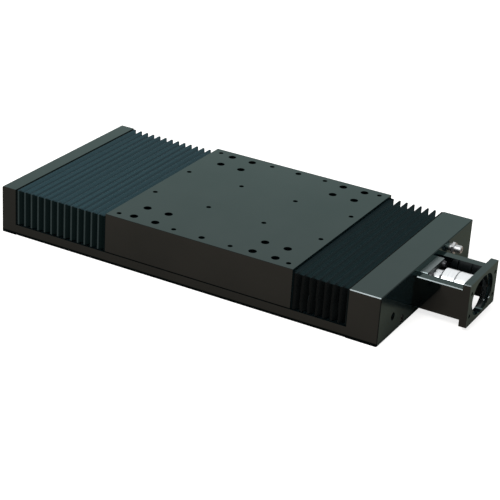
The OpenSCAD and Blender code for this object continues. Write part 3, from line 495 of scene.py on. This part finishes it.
def crease(bm, low, high, shoulder, size):
    """Lets the side panels of a fold wander along X, as soft cloth does. The wander is none at
    both ends of the bellows and above the shoulder, and the same where two folds meet. The
    new level edges are marked as seams, so that they stay unbevelled."""
    upright = [e for e in bm.edges if abs(e.verts[0].co.z - e.verts[1].co.z) > SIDE_HEIGHT]
    bmesh.ops.subdivide_edges(bm, edges=upright, cuts=CREASE_RUNGS)
    for edge in bm.edges:
        along = abs(edge.verts[0].co.x - edge.verts[1].co.x) > HAIR
        edge.seam = along and all(vert.co.z < shoulder for vert in edge.verts)
    for vert in bm.verts:
        x, y, z = vert.co
        held = math.sin(math.pi * min(1, max(0, (x - low.x) / (high.x - low.x))))
        loose = min(1, max(0, (shoulder - z) / CREASE_FADE))
        side = math.copysign(SIDE_LAYER, y)
        wander = field.noise(Vector((x * CREASE_RATE[0], side, z * CREASE_RATE[1])))
        vert.co.x += size * wander * math.sqrt(held) * loose


def fold_mesh(name, stations, half, top, bottom, soften=None):
    """One fold: a portal of three panels with mitred corners, extruded through stations along
    X with their inset. A flat crest joins two stations without inset. The UV map runs
    round the portal and over the fold. Materials: top cloth, top crest, side cloth, side crest."""
    bm = bmesh.new()
    x, inset = stations[0]
    crown = top - inset * TOP_SHARE
    row = [
        bm.verts.new((x, side * (half - inset), z))
        for side, z in ((-1, bottom), (-1, crown), (1, crown), (1, bottom))
    ]
    lip = [bm.edges.new(pair) for pair in zip(row, row[1:])]
    for to_x, to_inset in stations[1:]:
        grown = bmesh.ops.extrude_edge_only(bm, edges=lip)["geom"]
        row = set(verts_in(grown))
        lip = [e for e in grown if isinstance(e, bmesh.types.BMEdge) and row.issuperset(e.verts)]
        for vert in row:
            vert.co.x = to_x
            vert.co.y -= math.copysign(1, vert.co.y) * (to_inset - inset)
            if vert.co.z > bottom + MM:  # a corner of the crown
                vert.co.z -= (to_inset - inset) * TOP_SHARE
        inset = to_inset
    if soften:
        soften(bm, shoulder=top - max(inset for x, inset in stations))
    bmesh.ops.recalc_face_normals(bm, faces=bm.faces)
    if max(bm.faces, key=lambda face: abs(face.normal.z)).normal.z < 0:
        bmesh.ops.reverse_faces(bm, faces=bm.faces)
    uv = bm.loops.layers.uv.new("UVMap")
    for face in bm.faces:
        on_side = abs(face.normal.y) > abs(face.normal.z)
        on_crest = all(abs(v.co.y) > half - HAIR for v in face.verts)
        face.material_index = 2 * on_side + on_crest
        for loop in face.loops:
            x, y, z = loop.vert.co
            loop[uv].uv = (z, x + abs(y)) if on_side else (y, x + abs(z))
    folded = [e for e in bm.edges if len(e.link_faces) == 2 and not e.seam]
    bmesh.ops.bevel(
        bm, geom=folded, offset=FOLD_ROUND, affect="EDGES", segments=2, profile=0.5, material=-1,
    )
    bmesh.ops.solidify(bm, geom=bm.faces[:], thickness=COVER_T)
    return object_from(bm, name)


def make_bellows(node, folds, depth, materials, wander=0):
    """A row of folds at an even pitch along the node's box, made in its place. The row starts
    and ends with a crest, and its pieces are cut in the valleys."""
    low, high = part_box(node)
    soften = None
    if wander:
        soften = functools.partial(crease, low=low, high=high, size=wander)
    length = high.x - low.x
    pitch = length / folds
    crest_length = CREST_SHARE * pitch
    slope = (pitch - crest_length) / 2
    for k in range(folds + 1):
        crest = low.x + k * pitch
        stations = [
            (crest - slope, depth), (crest, 0), (crest + crest_length, 0),
            (crest + crest_length + slope, depth),
        ]
        if k == 0:
            stations = stations[1:]
        if k == folds:
            stations = stations[:2]
        name = f"{node}_fold_{k + 1:02d}"
        piece = fold_mesh(name, stations, high.y, high.z, low.z, soften)
        for material in materials:
            piece.data.materials.append(material)
        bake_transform(piece)
        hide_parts(node)


# ---------------------------------------------------------------- threads in the tapped holes

THREAD_STEPS = 20  # facets to a turn
TABLE_PLATE = 16 * MM  # thickness of the table's top, which the holes pass through
HOLE_INSET = 10 * MM  # of the outer rows of holes, from the table's sides


def thread_mesh(name, places, radius, pitch, low, high):
    """Helical ridges inside upright tapped holes, each a closed three-sided thread. The first
    is spun round its hole, and the others are copies of it."""
    bm = bmesh.new()
    turns = int((high - low) / pitch) - 1
    x, y = places[0]
    profile = [
        bm.verts.new((x + radius + reach * pitch, y, low + rise * pitch))
        for reach, rise in ((0.05, 0), (-0.225, 0.5), (0.05, 0.9))
    ]
    start = bm.faces.new(profile)
    spun = bmesh.ops.spin(
        bm, geom=profile + start.edges[:], cent=(x, y, 0), axis=(0, 0, 1),
        dvec=(0, 0, pitch / THREAD_STEPS), angle=2 * math.pi * turns, steps=THREAD_STEPS * turns,
        use_merge=False, use_duplicate=False,
    )
    bm.faces.new(verts_in(spun["geom_last"]))
    bmesh.ops.recalc_face_normals(bm, faces=bm.faces)
    first = bm.verts[:] + bm.edges[:] + bm.faces[:]
    for to_x, to_y in places[1:]:
        copy = bmesh.ops.duplicate(bm, geom=first)["geom"]
        bmesh.ops.translate(bm, verts=verts_in(copy), vec=(to_x - x, to_y - y, 0))
    piece = object_from(bm, name)
    piece.data.materials.append(TAPPED)
    return piece


def make_table_threads():
    """Threads in the grid of 4 x 4 small holes in the table's top, and in the two larger ones
    halfway along its long sides."""
    low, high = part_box("table")
    columns, rows = (
        [least + HOLE_INSET + k * (most - least - 2 * HOLE_INSET) / 3 for k in range(4)]
        for least, most in ((low.x, high.x), (low.y, high.y))
    )
    grid = [(x, y) for x in columns for y in rows]
    middle = [((low.x + high.x) / 2, y) for y in (rows[0], rows[-1])]
    for name, places, radius, pitch in (
        ("table_threads", grid, 2.7 * MM, 1 * MM),
        ("table_threads_middle", middle, 3.4 * MM, 1.25 * MM),
    ):
        piece = thread_mesh(
            name, places, radius, pitch, high.z - TABLE_PLATE, high.z - 0.1 * MM
        )
        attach(piece, "carriage")


# ---------------------------------------------------------------- studio


def light_path_share(tree, *kinds):
    """1 for rays of the given kinds, and 0 for the others."""
    path = tree.nodes.new("ShaderNodeLightPath")
    total = path.outputs[kinds[0]]
    for kind in kinds[1:]:
        total = combined(tree, "MAXIMUM", total, path.outputs[kind])
    return total


def background(tree, color, strength):
    """Even light from all around."""
    shown = tree.nodes.new("ShaderNodeBackground")
    shown.inputs["Color"].default_value = color
    shown.inputs["Strength"].default_value = strength
    return shown.outputs[0]


def mixed(tree, share, first, second):
    """The first look, giving way to the second as the share rises to 1."""
    mix = tree.nodes.new("ShaderNodeMixShader")
    for value, socket in zip((share, first, second), mix.inputs):
        tree.links.new(value, socket)
    return mix.outputs[0]


def make_world():
    """White where the camera, metal or glass sees it, and a soft cool light for the rest."""
    world = bpy.data.worlds.new("studio")
    bpy.context.scene.world = world
    world.use_nodes = True
    tree = world.node_tree
    tree.nodes.clear()
    soft = background(tree, (0.93, 0.98, 1.0, 1), 0.55)
    seen = background(tree, (1, 1, 1, 1), 1.0)
    share = light_path_share(tree, "Is Camera Ray", "Is Glossy Ray", "Is Transmission Ray")
    output = tree.nodes.new("ShaderNodeOutputWorld")
    tree.links.new(mixed(tree, share, soft, seen), output.inputs["Surface"])


def make_floor():
    """Pale floor just under the base. The camera sees it white with a faint shadow, and metal
    mirrors it warmer and darker."""
    bm = bmesh.new()
    bmesh.ops.create_grid(bm, x_segments=1, y_segments=1, size=6)
    bmesh.ops.translate(bm, verts=bm.verts, vec=(0, 0, cad_box[0].z - 0.05 * MM))
    floor = object_from(bm, "floor")
    material = bpy.data.materials.new("pale_floor")
    material.use_nodes = True
    tree = material.node_tree
    tree.nodes.clear()
    matt = tree.nodes.new("ShaderNodeBsdfDiffuse")
    matt.inputs["Color"].default_value = (0.66, 0.63, 0.6, 1)
    glow = tree.nodes.new("ShaderNodeEmission")
    glow.inputs["Color"].default_value = (1, 1, 1, 1)
    glow.inputs["Strength"].default_value = 0.75
    bright = tree.nodes.new("ShaderNodeAddShader")
    tree.links.new(matt.outputs[0], bright.inputs[0])
    tree.links.new(glow.outputs[0], bright.inputs[1])
    mirrored = tree.nodes.new("ShaderNodeBsdfDiffuse")
    mirrored.inputs["Color"].default_value = (0.48, 0.38, 0.31, 1)
    by_camera = light_path_share(tree, "Is Camera Ray")
    by_metal = light_path_share(tree, "Is Glossy Ray", "Is Transmission Ray")
    shown = mixed(tree, by_camera, matt.outputs[0], bright.outputs[0])
    shown = mixed(tree, by_metal, shown, mirrored.outputs[0])
    output = tree.nodes.new("ShaderNodeOutputMaterial")
    tree.links.new(shown, output.inputs["Surface"])
    floor.data.materials.append(material)


def make_lamp(name, direction, distance, size, power, color=(1, 1, 1)):
    """Area lamp that shines on the middle of the module from a direction."""
    light = bpy.data.lights.new(name, "AREA")
    light.shape = "SQUARE"
    light.size = size
    light.energy = power
    light.color = color
    lamp = bpy.data.objects.new(name, light)
    bpy.context.scene.collection.objects.link(lamp)
    away = Vector(direction).normalized()
    lamp.location = away * distance
    lamp.rotation_mode = "QUATERNION"
    lamp.rotation_quaternion = (-away).to_track_quat("-Z", "Y")


CAMERA_DISTANCE = 1.743
CAMERA_AIM = Vector((17.1 * MM, 4.1 * MM, 0))
CAMERA_TURNS = (27.8, 25.19, 3.79)  # azimuth from -Y towards +X, elevation and roll, in degrees


def make_camera():
    """A long lens that looks down on the motor end and the near long side."""
    data = bpy.data.cameras.new("camera")
    data.lens = 116.08
    data.sensor_width = 36
    data.clip_start = 0.05
    data.clip_end = 50
    camera = bpy.data.objects.new("camera", data)
    bpy.context.scene.collection.objects.link(camera)
    bpy.context.scene.camera = camera
    azimuth, elevation, roll = (math.radians(a) for a in CAMERA_TURNS)
    back = Vector((
        math.sin(azimuth) * math.cos(elevation),
        -math.cos(azimuth) * math.cos(elevation),
        math.sin(elevation),
    ))
    camera.location = CAMERA_AIM + CAMERA_DISTANCE * back
    camera.rotation_mode = "QUATERNION"
    upright = (-back).to_track_quat("-Z", "Y")
    camera.rotation_quaternion = upright @ Quaternion((0, 0, 1), roll)


# ---------------------------------------------------------------- the scene

finish_cad_nodes()
# Painted light in the idle tones: the side panels take a darker copy of the top cloth as painted
# shade, and their crests a lighter tone as painted highlight.
make_bellows(
    "bellows_idle", folds=13, depth=5 * MM,
    materials=(
        woven_cover(
            "idle_cover", (0.026, 0.064, 0.075), (0.017, 0.044, 0.053), 0.09,
            height_shade=(51.8 * MM, 50.2 * MM, 0.6), hem_shade=(109 * MM, 113 * MM),
        ),
        painted_crest("idle_crest", (0.018, 0.042, 0.05), 0.04, gloss=0.02),
        woven_cover(
            "idle_cover_side", (0.0045, 0.011, 0.011), (0.003, 0.0075, 0.0075), 0.02, gloss=0.05,
        ),
        painted_crest("idle_side_crest", (0.024, 0.034, 0.034), 0.05),
    ),
)
# The motor bellows takes a darker copy of the idle one's cloth as painted shade, darker again on
# its side panels and crests.
make_bellows(
    "bellows_motor", folds=7, depth=9 * MM,
    materials=(
        woven_cover(
            "motor_cover", (0.028, 0.058, 0.062), (0.02, 0.041, 0.044), 0.02, gloss=0.04,
            height_shade=(47.6 * MM, 52.2 * MM, 0.35), hem_shade=(106 * MM, 112 * MM),
        ),
        painted_crest("motor_crest", (0.0125, 0.021, 0.0232), 0, gloss=0),
        woven_cover("motor_cover_side", (0.006, 0.008, 0.008), (0.003, 0.004, 0.004), 0.02),
        painted_crest("motor_side_crest", (0.002, 0.0025, 0.0025), 0.01),
    ),
    wander=2.2 * MM,
)
make_table_threads()

make_world()
make_floor()
make_lamp("key", (0.05, -0.7, 0.7), distance=1.8, size=0.5, power=13)
make_lamp(
    "edge", (-0.335, -0.925, 1.536), distance=1.84, size=0.27, power=8.6, color=(0.94, 0.98, 1),
)
make_camera()
bpy.context.scene.view_settings.view_transform = "Standard"
